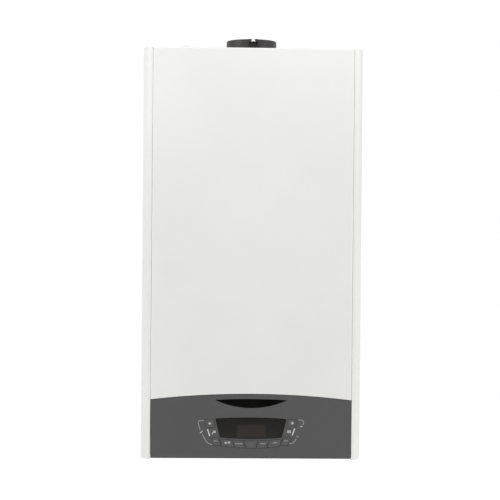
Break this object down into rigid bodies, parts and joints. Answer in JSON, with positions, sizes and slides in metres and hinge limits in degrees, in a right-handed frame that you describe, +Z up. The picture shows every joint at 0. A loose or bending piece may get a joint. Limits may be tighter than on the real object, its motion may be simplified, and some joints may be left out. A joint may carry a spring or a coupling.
{
  "type": "wall-hung gas boiler",
  "caption": "Wall-hung condensing gas boiler with a white sheet casing, a tilting grey control panel with keys and display, and a concentric flue collar.",
  "frame": {"origin": "midpoint of the two hanging slots on the wall plane", "axes": "+Z up, +Y back into the wall, +X to the right seen from the front"},
  "size_m": [0.4, 0.3194, 0.787],
  "materials": {
    "casing_white": "satin white enamel",
    "galvanised": "galvanised sheet",
    "fascia_grey": "fine satin",
    "plate_black": "gloss",
    "display_dark": "gloss",
    "key_grey": "fine satin",
    "board_green": "solder mask",
    "box_grey": "moulded",
    "flue_grey": "moulded",
    "plug_white": "moulded",
    "vessel_red": "powder coat",
    "stainless": "drawn",
    "cast_alloy": "die cast",
    "motor_black": "moulded",
    "plastic_grey": "moulded",
    "brass": "machined",
    "copper": "drawn tube",
    "knob_red": "moulded",
    "knob_blue": "moulded",
    "zinc": "zinc plated",
    "ceramic": "glazed"
  },
  "bodies": {
    "casing": {"rear_frame": "galvanised", "right_side_panel": "casing_white", "left_side_panel": "casing_white", "top_plate": "casing_white", "bottom_plate": "galvanised", "cross_rail": "galvanised", "hinge_pins": "zinc", "flue_duct": "stainless", "flue_collar": "flue_grey", "sampling_plug": "plug_white", "air_intake_cap": "plug_white", "expansion_vessel": "vessel_red", "exchanger_bracket": "galvanised", "exchanger_shell": "stainless", "exchanger_coil": "stainless", "burner_tube": "stainless", "burner_door": "cast_alloy", "ignition_electrode": "ceramic", "burner_manifold": "cast_alloy", "fan_housing": "cast_alloy", "fan_motor": "motor_black", "air_gas_mixer": "cast_alloy", "intake_silencer": "plastic_grey", "gas_valve": "cast_alloy", "gas_inlet_pipe": "brass", "gas_feed_pipe": "cast_alloy", "flow_block": "plastic_grey", "return_block": "plastic_grey", "plate_exchanger": "stainless", "diverter_motor": "motor_black", "pump_housing": "plastic_grey", "pump_motor": "motor_black", "flow_pipe": "copper", "return_pipe": "copper", "relief_valve": "brass", "filling_tap": "brass", "condensate_trap": "plastic_grey", "condensate_tube": "motor_black"},
    "front_panel": {"front_panel": "casing_white", "front_panel_screws": "zinc"},
    "control_panel": {"fascia": "fascia_grey", "badge_plate": "plate_black", "display_lens": "display_dark", "display_board": "board_green", "electrical_box": "box_grey"},
    "fan_wheel": {"fan_impeller": "motor_black"},
    "pump_wheel": {"pump_rotor": "motor_black"},
    "diverter": {"diverter_spindle": "brass"},
    "relief_handle": {"relief_knob": "knob_red"},
    "filling_handle": {"filling_knob": "knob_blue"},
    "key_dhw_plus": {"key_dhw_plus": "key_grey"},
    "key_dhw_minus": {"key_dhw_minus": "key_grey"},
    "key_heat_plus": {"key_heat_plus": "key_grey"},
    "key_heat_minus": {"key_heat_minus": "key_grey"},
    "key_mode": {"key_mode": "key_grey"},
    "key_comfort": {"key_comfort": "key_grey"},
    "key_power": {"key_power": "key_grey"},
    "key_auto": {"key_auto": "key_grey"},
    "key_menu": {"key_menu": "key_grey"}
  },
  "joints": [
    {"name": "front_panel_off", "type": "slide", "parent": "casing", "child": "front_panel", "axis": [0, -1, 0], "range_m": [0, 0.4]},
    {"name": "control_panel_tilt", "type": "hinge", "parent": "casing", "child": "control_panel", "pos_m": [0, -0.307, -0.68], "axis": [1, 0, 0], "range_deg": [0, 90]},
    {"name": "key_dhw_plus_press", "type": "slide", "parent": "control_panel", "child": "key_dhw_plus", "axis": [0, 1, 0], "range_m": [0, 0.0012], "stiffness_N_per_m": 300},
    {"name": "key_dhw_minus_press", "type": "slide", "parent": "control_panel", "child": "key_dhw_minus", "axis": [0, 1, 0], "range_m": [0, 0.0012], "stiffness_N_per_m": 300},
    {"name": "key_heat_plus_press", "type": "slide", "parent": "control_panel", "child": "key_heat_plus", "axis": [0, 1, 0], "range_m": [0, 0.0012], "stiffness_N_per_m": 300},
    {"name": "key_heat_minus_press", "type": "slide", "parent": "control_panel", "child": "key_heat_minus", "axis": [0, 1, 0], "range_m": [0, 0.0012], "stiffness_N_per_m": 300},
    {"name": "key_mode_press", "type": "slide", "parent": "control_panel", "child": "key_mode", "axis": [0, 1, 0], "range_m": [0, 0.0012], "stiffness_N_per_m": 300},
    {"name": "key_comfort_press", "type": "slide", "parent": "control_panel", "child": "key_comfort", "axis": [0, 1, 0], "range_m": [0, 0.0012], "stiffness_N_per_m": 300},
    {"name": "key_power_press", "type": "slide", "parent": "control_panel", "child": "key_power", "axis": [0, 1, 0], "range_m": [0, 0.0012], "stiffness_N_per_m": 300},
    {"name": "key_auto_press", "type": "slide", "parent": "control_panel", "child": "key_auto", "axis": [0, 1, 0], "range_m": [0, 0.0012], "stiffness_N_per_m": 300},
    {"name": "key_menu_press", "type": "slide", "parent": "control_panel", "child": "key_menu", "axis": [0, 1, 0], "range_m": [0, 0.0012], "stiffness_N_per_m": 300},
    {"name": "fan_spin", "type": "hinge", "parent": "casing", "child": "fan_wheel", "pos_m": [0.112, -0.25, -0.40804], "axis": [0, 1, 0], "continuous": true},
    {"name": "pump_spin", "type": "hinge", "parent": "casing", "child": "pump_wheel", "pos_m": [0.118, -0.12, -0.518], "axis": [0, 1, 0], "continuous": true},
    {"name": "diverter_travel", "type": "slide", "parent": "casing", "child": "diverter", "axis": [0, 0, 1], "range_m": [0, 0.008]},
    {"name": "relief_knob_turn", "type": "hinge", "parent": "casing", "child": "relief_handle", "pos_m": [0.128, -0.152, -0.612], "axis": [0, 1, 0], "range_deg": [0, 90]},
    {"name": "filling_knob_turn", "type": "hinge", "parent": "casing", "child": "filling_handle", "pos_m": [0.099, -0.092, -0.682], "axis": [0, 0, 1], "range_deg": [0, 180]}
  ]
}
